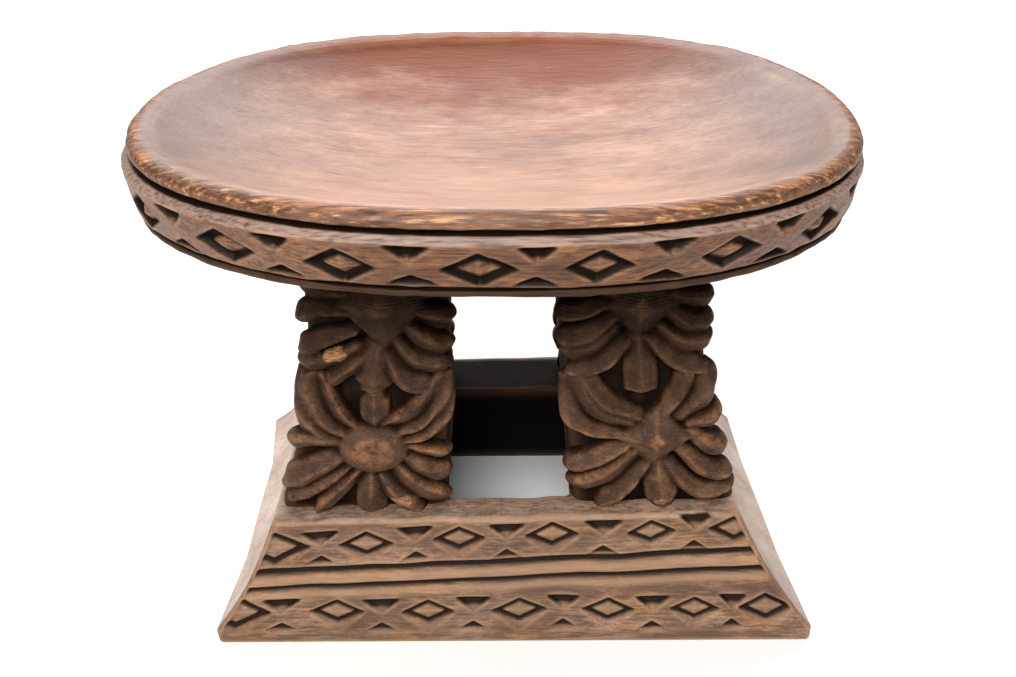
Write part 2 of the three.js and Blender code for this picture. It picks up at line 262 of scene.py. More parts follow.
seatSizes = {
    # squareness of the outline's quarters: front left, front right, back right, back left
    "quarters": (2.34, 2.4, 2.3, 2.25),
    "backSwell": 0.08,  # the back right of the outline stands out a little
    "backRise": 1.5,
    "columns": 1920,
    "coarse": 384,
    "dishDepth": 38,
    "dishHollow": 2.3,  # how quickly the dish steepens towards the lip
    "dishRings": 54,
    "underRings": 20,
    "lipWidth": 17,
    "seatThickness": 62,
    "motifs": 18,
    "firstMotif": -9,
    "rimStep": 0.65,
    "endFullness": 3.6,
    "frontDraw": 1.2,
    "lipDraw": 2.5,  # the lip draws in more than the band at the left end
    # rim section: inset from the widest outline, drop below the lip's crest
    "section": [(17.5, 51.8), (12.5, 51.6), (9.8, 50.4), (9.0, 48.6), (9.6, 47.0), (12.2, 46.0), (11.0, 44.9),
                (8.6, 44.3), (8.0, 43.4), (3.2, 29), (0.2, 16.6), (0.1, 15.8), (3.2, 12.0), (6.8, 11.0),
                (6.8, 9.6), (2.6, 8.2), (2.0, 6.6), (2.4, 4.2), (4.4, 1.6), (7, 0.4), (10, 0), (13.5, 0.6),
                (17, 1.8)],
    # a diamond's half length and height, the raised heart in it, and how unevenly the hand cut it
    "chip": {"half": (17.4, 11), "heart": (10.6, 6.2), "heartShift": 1.9, "wall": 0.2, "bevelReach": 1.0,
             "bevelDepth": 0, "heartEdge": 0.72, "heartDepth": 0.1, "depth": 5.4, "pitch": 68, "wander": 0.8,
             "upper": {"half": 12, "tall": 10, "base": 13.6, "depth": 5.6, "shallow": 0.4, "wall": 0.42,
                       "grimeAndShade": 0.75},
             "lower": {"half": 12, "tall": 5.8, "base": -11.4, "depth": 5, "shallow": 0.8, "wall": 0.3,
                       "grimeAndShade": 1}},
    "chipMiddle": 31,  # drop of the diamonds' centre line
}


def ovalRing(share, columns, halfLength, halfDepth):
    angle = np.linspace(0, 2 * np.pi, columns, endpoint=False) - np.pi / 2
    x, y = np.cos(angle), np.sin(angle)
    frontLeft, frontRight, backRight, backLeft = seatSizes["quarters"]
    square = np.where(y < 0, np.where(x < 0, frontLeft, frontRight), np.where(x < 0, backLeft, backRight))
    along = np.sign(x) * np.abs(x) ** (2 / square)
    across = np.sign(y) * np.abs(y) ** (2 / square)
    even = (halfLength - halfDepth) * (1 - share) * share ** 2
    swell = 1 + seatSizes["backSwell"] * share * ease(x, -0.3, 0.7) * np.clip(across * 1.5, 0, 1)
    return np.stack([(halfLength * share + even) * along, halfDepth * share * across * swell], 1)


# The same outline with its points spaced evenly, starting at the front middle.
def evenOvalRing(share, columns, halfLength, halfDepth):
    fine = ovalRing(share, 7200, halfLength, halfDepth)
    closed = np.concatenate([fine, fine[:1]])
    lengths = np.concatenate([[0], np.cumsum(np.linalg.norm(np.diff(closed, axis=0), axis=1))])
    places = np.linspace(0, lengths[-1], columns, endpoint=False)
    ring = np.stack([np.interp(places, lengths, closed[:, k]) for k in range(2)], 1)
    return ring, places, lengths[-1]


def makeSeat():
    low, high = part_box("seat")
    halfLength = (high.x - low.x) / 2 / mm
    halfDepth = (high.y - low.y) / 2 / mm
    top = high.z / mm

    def shareAt(inset):
        return 1 - inset / halfDepth

    line = softLine(evenLine(seatSizes["section"], seatSizes["rimStep"]), 1)
    columns = seatSizes["columns"]
    rim = []
    for inset, drop in line:
        ring, places, around = evenOvalRing(shareAt(inset), columns, halfLength, halfDepth)
        drawn = seatSizes["lipDraw"] * ease(-ring[:, 0], 60, 200) * ease(-drop, -16, -8)
        ring = ring * (1 - drawn / np.linalg.norm(ring, axis=1))[:, None]
        # the band stands more upright at the ends, and its foot is drawn in a little along the front
        fuller = seatSizes["endFullness"] * ease(np.abs(ring[:, 0]), 165, 212) * (ring[:, 1] < 60)
        drawnIn = seatSizes["frontDraw"] * (1 - ease(np.abs(ring[:, 0]), 140, 200))
        fuller = (fuller - drawnIn) * ease(drop, 20, 42)
        ring = ring * (1 + fuller / np.linalg.norm(ring, axis=1))[:, None]
        rim.append(np.column_stack([ring, np.full(columns, top - drop)]))
    rim = np.array(rim)
    s = np.broadcast_to(places, rim.shape[:2])
    out = np.cross(np.roll(rim, -1, axis=1) - np.roll(rim, 1, axis=1), np.gradient(rim, axis=0))
    out /= np.linalg.norm(out, axis=-1, keepdims=True)
    drops = np.broadcast_to(line[:, 1][:, None], s.shape)
    h = (seatSizes["chipMiddle"] - drops) + 1.6 * (lumps(rim, 60, 5) - 0.5)
    step = around / seatSizes["motifs"]
    middles = seatSizes["firstMotif"] + step * np.arange(-1, seatSizes["motifs"] + 2)
    dice = np.random.default_rng(3).normal(size=seatSizes["motifs"]) * 1.5
    middles += dice[np.arange(-1, seatSizes["motifs"] + 2) % seatSizes["motifs"]]
    cut, grimeAndShade = registerCut(s + 2.0 * (lumps(rim, 30, 6) - 0.5), h, seatSizes["chip"], middles, 11)
    onBand = ease(-drops, -43.2, -42.8) * ease(drops, 16.2, 16.8)
    cut, grimeAndShade = softened(cut * onBand), softened(grimeAndShade * onBand)
    knife = 0.7 * (lumps(rim * [1, 1, 1.6], 8, 7) - 0.5) + 0.9 * (lumps(rim, 24, 8) - 0.5)
    rim = rim + out * (knife - cut)[..., None]
    backRise = seatSizes["backRise"] * ease(rim[..., 1], 60, 150)
    rim[..., 2] += 1.6 * (lumps(rim * [1, 1, 0], 70, 9) - 0.5) + backRise
    # dish, from the lip inwards, on fewer columns
    coarse = seatSizes["coarse"]
    edge = shareAt(seatSizes["lipWidth"])
    floor = top - seatSizes["dishDepth"]
    dish = []
    for share in np.linspace(1, 0, seatSizes["dishRings"])[1:-1]:
        ring, _, _ = evenOvalRing(edge * share, coarse, halfLength, halfDepth)
        drawn = seatSizes["lipDraw"] * ease(-ring[:, 0], 60, 200)
        ring = ring * (1 - drawn / np.linalg.norm(ring, axis=1).clip(40))[:, None]
        height = floor + (seatSizes["dishDepth"] - 1.8) * share ** seatSizes["dishHollow"]
        dish.append(np.column_stack([ring, np.full(coarse, height)]))
    dish = np.array(dish)
    dish[..., 2] += 1.4 * (lumps(dish, 48, 12) - 0.5) + 0.5 * (lumps(dish * [0.5, 1, 1], 15, 13) - 0.5)
    underLevel = top - seatSizes["seatThickness"]
    edgeShare = shareAt(seatSizes["section"][0][0])
    edgeLevel = top - seatSizes["section"][0][1]
    under = []
    for share in np.linspace(0, 1, seatSizes["underRings"])[1:-1]:
        ring, _, _ = evenOvalRing(edgeShare * share, coarse, halfLength, halfDepth)
        height = underLevel + (edgeLevel - underLevel) * ease(share, 0.8, 1.0)
        under.append(np.column_stack([ring, np.full(coarse, height)]))
    under = np.array(under)
    under[..., 2] += 0.9 * (lumps(under, 14, 14) - 0.5)
    piece = skinMesh("seat_carved", [under, rim, dish])
    ends = np.zeros(under.size // 3), np.zeros(dish.size // 3 + 2)
    upperGroove = ease(drops, 7.4, 8.6) * ease(-drops, -12.4, -11.6)
    lowerGroove = ease(drops, 44.4, 45.0) * ease(-drops, -47.2, -46.4)
    isLip = (line[:, 0] < 20) & (line[:, 1] < 9.2) & (np.arange(len(line)) > len(line) / 2)
    lip = np.repeat(isLip, columns).astype(float)
    inDish = np.repeat(isLip & (line[:, 0] > 10), columns).astype(float)
    # under: painted shade, partly dirt, on the seat's underside and the band's foot
    under = np.concatenate([np.ones(len(ends[0])), ease(drops, 42.5, 46).ravel() * 0.85, ends[1]])
    crest, dip = crestAndHollow(piece.data, 6, 0.5)
    # hollow: painted shade, partly grime, in the pockets, the two grooves and the concave places
    hollow = np.concatenate([ends[0], np.clip(grimeAndShade + upperGroove + lowerGroove, 0, 1).ravel(), ends[1]])
    keepValues(piece.data, "hollow", spread(piece.data, np.clip(hollow + 0.3 * dip, 0, 1), 1))
    keepValues(piece.data, "crest", spread(piece.data, crest, 2))
    dishOnly = np.concatenate([ends[0], inDish, ends[1] + 1])
    dishOnly[-2] = 0
    keepValues(piece.data, "inDish", spread(piece.data, dishOnly, 4))
    polished = np.concatenate([ends[0], lip, ends[1] + 1])
    polished[-2] = 0
    keepValues(piece.data, "polished", spread(piece.data, polished, 3))
    keepValues(piece.data, "under", spread(piece.data, under, 2))
    strip = np.concatenate([ends[0], (ease(drops, 11.8, 12.4) * ease(-drops, -16.4, -15.8)).ravel(), ends[1]])
    keepValues(piece.data, "strip", strip)
    # the lip's front face below its crest: a browner tone, deepened by painted shade
    lipFaceToneAndShade = np.concatenate([ends[0], lip * np.repeat(ease(line[:, 1], 0.5, 3.6), columns), ends[1]])
    keepValues(piece.data, "lipFaceToneAndShade", spread(piece.data, lipFaceToneAndShade * (1 - dishOnly), 1))
    return piece


baseSizes = {
    "footEdge": 10,
    "footRounding": 2,
    "corner": 4,
    "ledge": (299, 194),
    "ledgeDraw": (-5, 1.5),  # the ledge reaches further to the left than to the right
    "footDraw": (1.5, 0),  # the foot's left and right ends, drawn in from the block
    "sideBow": (9.5, 9),  # hollow of the left and right ends
    "bowAlong": (0.4, 1.3, 1.5, 1.0),  # and how it changes from front to back
    "wall": {"front": 19.5, "back": 45},
    "footWall": {"front": 27, "back": 41, "side": 41},
    "wellMiddle": 9.5,
    "wellHalf": 40.5,
    "tilt": 6,  # the right end of the ledge stands higher than the left
    "columns": {"long": 640, "short": 150, "corner": 8},
    "rowStep": 0.65,
    "ledgeRows": 26,
    "grooves": [(58, 4.6, 2.6), (46.5, 4.4, 2.6)],  # height, depth, half width
    "bead": {"middle": 51.5, "half": 6, "rise": 1.6},
    "bowStations": (-1, -0.4, 0.5, 1),  # from the foot's front to its back
    "footBow": ((3.6, 9.4, 7.6, 0), (0, 7.2, 13, 13)),  # how far its left and right ends are hollowed in plan
    "upper": {"height": 73.5, "slope": 8, "middles": (-214, -157.5, -93, -33, 27, 91, 147, 205),
              "sizes": (1, 1.6, 1, 1, 1.05, 1, 1.1, 1)},
    "lower": {"height": 24.5, "slope": 1.5, "middles": (-248, -187.5, -117, -54, 6, 63, 122, 171, 230),
              "sizes": (1, 1.6, 1, 1.04, 1, 1, 1, 1.1, 1)},
    "chip": {"half": (16.6, 7.6), "heart": (11.6, 5.1), "heartShift": 0.3, "wall": 0.16, "bevelReach": 1.85,
             "bevelDepth": 0.8, "heartEdge": 0.6, "heartDepth": 0.1, "depth": 5, "pitch": 59, "wander": 0.8,
             "upper": {"half": 12.5, "tall": 9.3, "base": 8.8, "depth": 5.4, "shallow": 0.25, "wall": 0.24,
                       "grimeAndShade": 0.62},
             "lower": {"half": 11.5, "tall": 6.6, "base": -14, "depth": 5, "shallow": 0.25, "wall": 0.24,
                       "grimeAndShade": 0.75}},
}


# A rectangle with rounded corners, from the front left corner round to the right.
def cornerRing(left, right, front, back, radius):
    count = baseSizes["columns"]
    pieces = []
    spots = [(left, front), (right, front), (right, back), (left, back)]
    for k in range(4):
        start, end = np.array(spots[k], float), np.array(spots[(k + 1) % 4], float)
        number = count["long"] if k % 2 == 0 else count["short"]
        share = np.linspace(0, 1, number, endpoint=False)
        length = np.linalg.norm(end - start)
        heading = (end - start) / length
        pieces.append(start + heading * (radius + share * (length - 2 * radius))[:, None])
        angle = np.radians(-90 + 90 * k + np.linspace(0, 90, count["corner"], endpoint=False))
        aside = np.array([-heading[1], heading[0]])
        centre = end - heading * radius + aside * radius
        pieces.append(centre + radius * np.stack([np.cos(angle), np.sin(angle)], 1))
    return np.concatenate(pieces)


def makeBase():
    low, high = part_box("base")
    footX = (high.x - low.x) / 2 / mm
    footY = (high.y - low.y) / 2 / mm
    shift = (high.x + low.x) / 2 / mm
    height = high.z / mm
    edge = baseSizes["footEdge"]
    ledgeX, ledgeY = baseSizes["ledge"][0] / 2, baseSizes["ledge"][1] / 2
    rounding = baseSizes["footRounding"]
    radius = baseSizes["corner"]
    rows = []

    def slope(z):
        return np.clip((z - edge) / (height - edge), 0, 1)

    def halfY(z):
        return blend(footY, ledgeY, slope(z))

    def draw(end, z):
        return blend(baseSizes["footDraw"][end], baseSizes["ledgeDraw"][end], slope(z))

    def leftX(z):
        return shift - blend(footX, ledgeX, slope(z)) + draw(0, z)

    def rightX(z):
        return shift + blend(footX, ledgeX, slope(z)) - draw(1, z)

    def addRow(left, right, front, back, z, corner):
        ring = cornerRing(left, right, front, back, corner)
        rows.append(np.column_stack([ring, np.full(len(ring), z)]))

    def blockRow(inset, z, corner):
        addRow(leftX(z) + inset, rightX(z) - inset, -halfY(z) + inset, halfY(z) - inset, z, corner)

    wall, footWall = baseSizes["wall"], baseSizes["footWall"]

    def wellSides(share):
        half = blend(footX - footWall["side"], baseSizes["wellHalf"], share)
        middle = blend(shift, baseSizes["wellMiddle"], share)
        front = -blend(footY - footWall["front"], ledgeY - wall["front"], share)
        back = blend(footY - footWall["back"], ledgeY - wall["back"], share)
        return np.array([middle - half, middle + half, front, back])

    def footHollow(points, nearEnd):
        left = np.interp(points[..., 1] / footY, baseSizes["bowStations"], baseSizes["footBow"][0])
        right = np.interp(points[..., 1] / footY, baseSizes["bowStations"], baseSizes["footBow"][1])
        side = np.sign(points[..., 0] - shift)
        return side * np.where(side < 0, left, right) * np.clip(1 - nearEnd / 60, 0, 1) ** 2

    blockFoot = np.array([leftX(0) + rounding, rightX(0) - rounding, -footY + rounding, footY - rounding])
    for share in np.linspace(0, 1, 7)[1:]:
        addRow(*blend(wellSides(0), blockFoot, share), 0, blend(6, radius, share))
    slopeStart = len(rows)
    for angle in (30, 60):
        turn = math.radians(angle)
        blockRow(rounding * (1 - math.sin(turn)), rounding * (1 - math.cos(turn)), radius)
    for z in np.arange(rounding, height - 1.5, baseSizes["rowStep"]):
        blockRow(0, z, radius)
    blockRow(0.6, height - 0.6, radius)
    blockRow(1.8, height, radius)
    slopeEnd = len(rows)
    blockTop = np.array([leftX(height) + 1.8, rightX(height) - 1.8, -ledgeY + 1.8, ledgeY - 1.8])
    ledgeRows = baseSizes["ledgeRows"]
    for share in np.linspace(0, 1, ledgeRows + 1)[1:]:
        addRow(*blend(blockTop, wellSides(1), share), height, blend(radius, 5, share))
    for share in np.linspace(1, 0, 18)[1:]:
        addRow(*wellSides(share), height * share, blend(6, 5, share))
    grid = np.array(rows)
    face = grid[slopeStart:slopeEnd]
    s = face[..., 0] - shift
    z = face[..., 2]
    side = np.where(face[..., 1] < 0, 1.0, -1.0)
    number = baseSizes["columns"]
    column = np.arange(face.shape[1])
    backStart = number["long"] + number["short"] + 2 * number["corner"]
    onFront = column < number["long"]
    onBack = (column >= backStart) & (column < backStart + number["long"])
    onFace = np.broadcast_to(onFront | onBack, s.shape)
    along = s * side
    nearEnd = np.minimum(face[..., 0] - leftX(z), rightX(z) - face[..., 0])
    fade = ease(nearEnd, 1.5, 5)
    chip = baseSizes["chip"]
    cut = np.zeros_like(s)
    grimeAndShade = np.zeros_like(s)
    wave = 2.0 * (lumps(face * [1, 1, 0.4], 42, 31) - 0.5)
    for key, seed in (("upper", 21), ("lower", 22)):
        register = baseSizes[key]
        h = z - register["height"] - register["slope"] * along / 300 + wave
        inReach = ease(h, -15.5, -14.8) * (1 - ease(h, 10.5, 11.2))
        depth, dirtAndShade = registerCut(along, h, chip, register["middles"], seed, register["sizes"])
        cut = np.maximum(cut, depth * inReach)
        grimeAndShade = np.maximum(grimeAndShade, dirtAndShade * inReach)
    lit = 0.3 * ease(cut, 0.3, 1.6) * (1 - ease(grimeAndShade, 0.1, 0.6))
    for middle, depth, half in baseSizes["grooves"]:
        h = z - middle - 10 * along / 300 + wave * 1.2
        groove = np.clip(1 - np.where(h > 0, h / (half * 0.6), -h / (half * 3)), 0, 1)
        cut = np.maximum(cut, depth * groove)
        # the groove's upper wall gets the wider dark mask: painted shade, partly grime
        grimeAndShade = np.maximum(grimeAndShade, np.where(h > 0, ease(groove, 0.05, 0.35), ease(groove, 0.56, 0.74)))
        lit = np.maximum(lit, 0.8 * ease(groove, 0.02, 0.15) * (1 - ease(groove, 0.4, 0.55)) * (h < 0))
    bead = baseSizes["bead"]
    beadHeight = z - bead["middle"] - 10 * along / 300 + wave * 1.2
    bulge = bead["rise"] * np.clip(1 - (beadHeight / bead["half"]) ** 2, 0, 1)
    cut = softened((cut - bulge) * np.where(onFace, fade, 0))
    grimeAndShade = softened(grimeAndShade * np.where(onFace, fade, 0))
    lit = lit * np.where(onFace, fade, 0)
    deep = face[..., 1] / halfY(z)
    hollowing = np.interp(deep, [-1, -0.4, 0.3, 1], baseSizes["bowAlong"]) * np.sin(np.pi * slope(z) ** 0.85)
    nearSide = np.clip(1 - nearEnd / 60, 0, 1) ** 2
    face[..., 0] -= np.sign(s) * np.where(s < 0, *baseSizes["sideBow"]) * hollowing * nearSide
    face[..., 0] -= footHollow(face, nearEnd) * (1 - slope(z)) ** 1.5
    sole = grid[:slopeStart]
    sole[..., 0] -= footHollow(sole, np.minimum(sole[..., 0] - leftX(0), rightX(0) - sole[..., 0]))
    knife = 1.0 * (lumps(face * [0.6, 1, 1], 12, 32) - 0.5) + 1.2 * (lumps(face, 34, 33) - 0.5)
    sides = 1.6 * (lumps(face, 55, 34) - 0.5)
    inward = np.zeros_like(face)
    inward[..., 1] = side * 0.95
    inward[..., 2] = -0.25
    face = face + inward * cut[..., None]
    outward = np.stack([np.where(onFace, 0, np.sign(s)), np.where(onFace, -side, 0), np.zeros_like(s)], -1)
    face = face + outward * (np.where(onFace, knife, sides) * ease(z, 2, 9))[..., None]
    grid[slopeStart:slopeEnd] = face
    lift = baseSizes["tilt"] * (grid[..., 0] - shift) / (2 * ledgeX) * np.clip(grid[..., 2] / height, 0, 1)
    grid[..., 2] += lift
    top = grid[slopeEnd - 1:slopeEnd + ledgeRows]
    top[..., 2] += 2.2 * (lumps(top, 20, 35) - 0.5) + 0.9 * (lumps(top, 7, 36) - 0.5)
    piece = skinMesh("base_carved", [grid], loop=True)
    values = {name: np.zeros(grid.shape[:2]) for name in ("hollow", "flank", "inner", "ledge", "dust")}
    # hollow: painted shade, partly grime, in the pockets, the grooves and the concave places
    values["hollow"][slopeStart:slopeEnd] = grimeAndShade
    shortStart = number["long"] + number["corner"]
    onFlank = (column >= shortStart) & (column < shortStart + number["short"])
    onFlank |= column >= backStart + shortStart
    onFlank &= column < len(column) - number["corner"]
    values["flank"][slopeStart:slopeEnd] = onFlank
    # inner: the well's walls, painted near black as shade
    values["inner"][slopeEnd + ledgeRows:] = 1
    ledge = grid[slopeEnd:slopeEnd + ledgeRows]
    # ledge: the ledge's top behind its front strip, painted dark as shade under the seat
    values["ledge"][slopeEnd:slopeEnd + ledgeRows] = ease(ledge[..., 1], -88, -60)
    dusty = slice(slopeEnd - 3, slopeEnd + ledgeRows)
    values["dust"][dusty] = 1 - ease(grid[dusty, :, 1], -88, -60)
    crest, dip = crestAndHollow(piece.data, 10, 0.5)
    values["hollow"] = np.clip(values["hollow"].ravel() + 0.25 * dip, 0, 1)
    litAll = np.zeros(grid.shape[:2])
    litAll[slopeStart:slopeEnd] = lit
    # crest: worn crests, plus the painted highlight from lit on the pocket floors and the grooves' lower
    # sides
    values["crest"] = np.clip(crest * 0.9 + litAll.ravel(), 0, 1)
    for name, found in values.items():
        found = found.ravel()
        keepValues(piece.data, name, spread(piece.data, found, 1 if name in ("hollow", "crest") else 3))
    return piece


postSizes = {
    "depth": 56,
    "face": 82,
    "axisLow": 9.5,
    "axisHigh": 6,
    "gapLow": 41,
    "gapHigh": 30,
    "reachLow": 150,
    "reachHigh": 117.5,
    "flare": 2.1,
    "corner": 8,
    "squareness": 9,
    "columns": 150,
    "rowStep": 2.2,
    "innerDraw": {"back_left": 5},  # the opening is wider past this post
    "sink": 7,  # how far a post runs into the ledge and the seat, so that the block reads as one
}


def postSpan(z, low, high):
    share = np.clip((z - low) / (high - low), 0, 1)
    axis = blend(postSizes["axisLow"], postSizes["axisHigh"], share)
    inner = blend(postSizes["gapLow"], postSizes["gapHigh"], share)
    reach = blend(postSizes["reachHigh"], postSizes["reachLow"], (1 - share) ** postSizes["flare"])
    return axis, inner, reach


def drawInner(points, corner, sideX, bottomTop):
    axis, inner, reach = postSpan(points[..., 2], *bottomTop)
    share = np.clip((reach - np.abs(points[..., 0] - axis)) / (reach - inner), 0, 1)
    points[..., 0] += sideX * postSizes["innerDraw"].get(corner, 0) * share
    return points


def makePost(corner, sideX, sideY, seed):
    low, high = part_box("post_" + corner)
    bottom, top = low.z / mm, high.z / mm
    levels = np.arange(bottom - postSizes["sink"], top + 1.5, postSizes["rowStep"])
    around = postSizes["columns"]
    rows = []
    for z in levels:
        axis, inner, reach = postSpan(z, bottom, top)
        halfX = (reach - inner) / 2
        halfY = postSizes["depth"] / 2
        angle = np.linspace(0, 2 * np.pi, around, endpoint=False)
        power = 2 / postSizes["squareness"]
        x = halfX * np.sign(np.cos(angle)) * np.abs(np.cos(angle)) ** power
        y = halfY * np.sign(np.sin(angle)) * np.abs(np.sin(angle)) ** power
        closed = np.column_stack([x, y])
        ring = evenClosed(closed, around)
        middle = axis + sideX * (inner + reach) / 2
        spot = [middle, sideY * (postSizes["face"] - halfY)]
        rows.append(np.column_stack([ring + spot, np.full(around, z)]))
    grid = np.array(rows)
    centre = grid.mean(axis=1, keepdims=True)
    out = grid - centre
    out[..., 2] = 0
    out /= np.linalg.norm(out, axis=-1, keepdims=True)
    gouge = 1.6 * (lumps(grid * [1, 1, 0.45], 9, seed) - 0.75) + 1.0 * (lumps(grid, 20, seed + 1) - 0.5)
    grid = drawInner(grid + out * gouge[..., None], corner, sideX, (bottom, top))
    piece = skinMesh("post_" + corner + "_carved", [grid])
    crest, dip = crestAndHollow(piece.data, 4, 0.5)
    # hollow: painted shade, partly dirt, in the dips of the knife marks
    keepValues(piece.data, "hollow", dip)
    keepValues(piece.data, "crest", crest)
    return piece


def evenClosed(points, count):
    closed = np.concatenate([points, points[:1]])
    lengths = np.concatenate([[0], np.cumsum(np.linalg.norm(np.diff(closed, axis=0), axis=1))])
    places = np.linspace(0, lengths[-1], count, endpoint=False)
    return np.stack([np.interp(places, lengths, closed[:, k]) for k in range(2)], 1)


# Points are millimetres from the boss's middle, across and up, as seen facing the post. A boss is its shape,
# half width, half height and height. A leg is its points and half width. A break is its middle and reach.
reliefs = {
    "front_left_lower": {
        "middle": (-76, 137), "boss": ("round", 23, 20, 15),
        "drop": ((-2, -17), (-5, -54), 9.5), "head": ((2, 17), (3, 40), 9), "breaks": [(14.6, -41, 7.2, 4.2)],
        "legs": [
            [(-10, -18), (-25, -34), (-39, -51), 5.5],
            [(-16, -12), (-35, -28), (-54, -41), 5.5],
            [(-20, -4), (-39, -15), (-58, -30), 7.5],
            [(-22, 3), (-42, 8), (-54, -2), 5.5],
            [(-16, 3), (-33, 7), (-43, 28), (-42, 56), 6],
            [(-14, 9), (-29, 19), (-35, 40), (-34, 56), 6],
            [(-12, 16), (-20, 27), (-25, 40), (-29, 54), 6],
            [(4, -21), (12, -36), (26, -50), 7],
            [(12, -16), (25, -30), (42, -41), 7.5],
            [(18, -8), (32, -17), (46, -23), 7],
            [(22, 0), (34, -2), (47, -6), 5],
            [(16, 6), (35, 11), (45, 29), (47, 50), 5],
            [(14, 12), (31, 19), (42, 38), (46, 54), 5],
            [(8, 18), (25, 27), (37, 41), (43, 53), 6],
        ],
    },
    "front_left_upper": {
        "middle": (-65, 240), "boss": ("diamond", 28, 33, 15),
        "drop": ((-3, -28), (-9, -59), 11), "breaks": [(-29.2, -33, 8.2, 5.4)],
        "legs": [
            [(-12, -36), (-25, -44), (-38, -55), 6],
            [(-16, -30), (-33, -38), (-53, -41), 6],
            [(-18, -18), (-36, -22), (-52, -33), 6.5],
            [(-20, -4), (-39, 0), (-50, -12), 6],
            [(-20, 6), (-38, 10), (-47, 22), 6],
            [(2, -34), (11, -53), (30, -57), 7],
            [(7, -26), (17, -38), (38, -43), 7],
            [(14, -16), (27, -26), (40, -29), 6.5],
            [(20, -4), (31, -6), (41, -8), 5.5],
            [(20, 6), (30, 10), (40, 18), 6],
        ],
    },
    "front_right_lower": {
        "middle": (101, 144), "boss": ("diamond", 26, 25, 14),
        "drop": ((3, -18), (9, -55), 10), "breaks": [(8, -50, 7, 3)],
        "legs": [
            [(11, -20), (24, -39), (37, -46), (52, -37), 6],
            [(17, -9), (33, -25), (53, -30), 6.5],
            [(22, 3), (37, -9), (50, -9), 6.5],
            [(22, 10), (38, 16), (49, 14), 6.5],
            [(15, 17), (27, 31), (31, 54), 8],
            [(4, 20), (13, 38), (15, 54), 6.5],
            [(-6, -20), (-16, -36), (-31, -53), 7],
            [(-13, -13), (-31, -31), (-51, -38), 7],
            [(-20, -6), (-40, -17), (-55, -22), 6.5],
            [(-20, 2), (-44, 6), (-54, 22), (-57, 44), 5.5],
            [(-17, 10), (-36, 17), (-47, 34), (-52, 52), 6],
            [(-12, 17), (-30, 25), (-42, 40), (-49, 53), 6.5],
        ],
    },
    "front_right_upper": {
        "middle": (86, 240), "boss": ("diamond", 24, 26, 13), "drop": ((0, -22), (5, -69), 10),
        "legs": [
            [(-8, -26), (-22, -41), (-37, -45), 6.5],
            [(-14, -18), (-29, -32), (-46, -34), 6.5],
            [(-16, -8), (-31, -20), (-48, -24), 6.5],
            [(-18, 2), (-34, -4), (-49, -6), 6],
            [(-16, 10), (-32, 14), (-48, 14), 6],
            [(8, -22), (24, -38), (38, -44), 7],
            [(13, -17), (27, -28), (43, -24), 6.5],
            [(16, -4), (31, -14), (44, -12), 6.5],
            [(18, 6), (32, 4), (44, 2), 6.5],
        ],
    },
}


# From a place on the unrolled face, and a depth over it, to the stool's own frame.
def onPost(across, up, depth, bottomTop, sideX):
    axis, inner, reach = postSpan(up, *bottomTop)
    half = (reach - inner) / 2
    middle = axis + sideX * (inner + reach) / 2
    radius = postSizes["corner"]
    local = across - middle
    side = np.sign(local)
    beyond = np.abs(local) - (half - radius)
    angle = np.clip(beyond / radius, 0, math.pi / 2)
    rest = np.clip(beyond - radius * math.pi / 2, 0, None)
    flat = beyond <= 0
    x = np.where(flat, local, side * (half - radius + (radius + depth) * np.sin(angle)))
    y = np.where(flat, depth, (radius + depth) * np.cos(angle) - radius - rest)
    return np.stack([middle + x, -(postSizes["face"] + y), up], -1)


def legPath(knots):
    line = np.array(knots, float)
    stretch = np.concatenate([[0], np.cumsum(np.linalg.norm(np.diff(line, axis=0), axis=1))])
    fine = np.linspace(0, stretch[-1], 18)
    return softLine(np.stack([np.interp(fine, stretch, line[:, k]) for k in range(2)], 1), 6)


# How far each place is from a line, on which side, and how far along it.
def besideLine(across, up, path):
    best = np.full(across.shape, 1e9)
    along = np.zeros(across.shape)
    hand = np.ones(across.shape)
    count = len(path) - 1
    for k in range(count):
        (ax, az), (bx, bz) = path[k], path[k + 1]
        dx, dz = bx - ax, bz - az
        share = np.clip(((across - ax) * dx + (up - az) * dz) / (dx * dx + dz * dz), 0, 1)
        offX, offZ = across - ax - share * dx, up - az - share * dz
        gap = np.hypot(offX, offZ)
        closer = gap < best
        best = np.where(closer, gap, best)
        along = np.where(closer, (k + share) / count, along)
        hand = np.where(closer, np.sign(dx * offZ - dz * offX), hand)
    return best, hand, along


# A leg: a ridge with a crest line off its middle, steep sides and a blunt end.
def legHeight(across, up, path, width, height, lean):
    gap, hand, along = besideLine(across, up, path)
    swelling = (0.78 + 0.22 * ease(along, 0, 0.5)) * (1 - 0.3 * ease(along, 0.8, 1))
    wide = width * reliefSizes["fullness"] * swelling
    tall = height * (0.78 + 0.22 * ease(along, 0, 0.35)) * (1 - 0.22 * ease(along, 0.75, 1))
    off = hand * gap / wide - lean
    roof = 1 - 0.55 * np.abs(off) / (1 + np.abs(lean))
    wall = (wide - gap) / reliefSizes["wall"]
    return np.where(gap < wide, tall * np.minimum(roof, np.clip(wall, 0, None)), 0)


def bossHeight(across, up, kind, halfWidth, halfHeight, height):
    if kind == "round":
        size = np.hypot(across / halfWidth, up / halfHeight)
        dome = height * np.sqrt(np.clip(1 - (size * 0.93) ** 2, 0, 1))
        worn = height * 0.88 + 0.05 * (up - across * 0.3)
        wall = (1 - size) * halfHeight / reliefSizes["wall"] * height * 0.8
        return np.clip(np.minimum(np.minimum(dome, worn), wall), 0, None)
    size = np.abs(across) / halfWidth + np.abs(up) / halfHeight
    facets = height * (1 - 0.62 * np.clip(size, 0, 1) ** 1.1)
    wall = (1 - size) * halfHeight * 0.7 / reliefSizes["wall"] * height * 0.6
    return np.clip(np.minimum(facets, wall), 0, None)


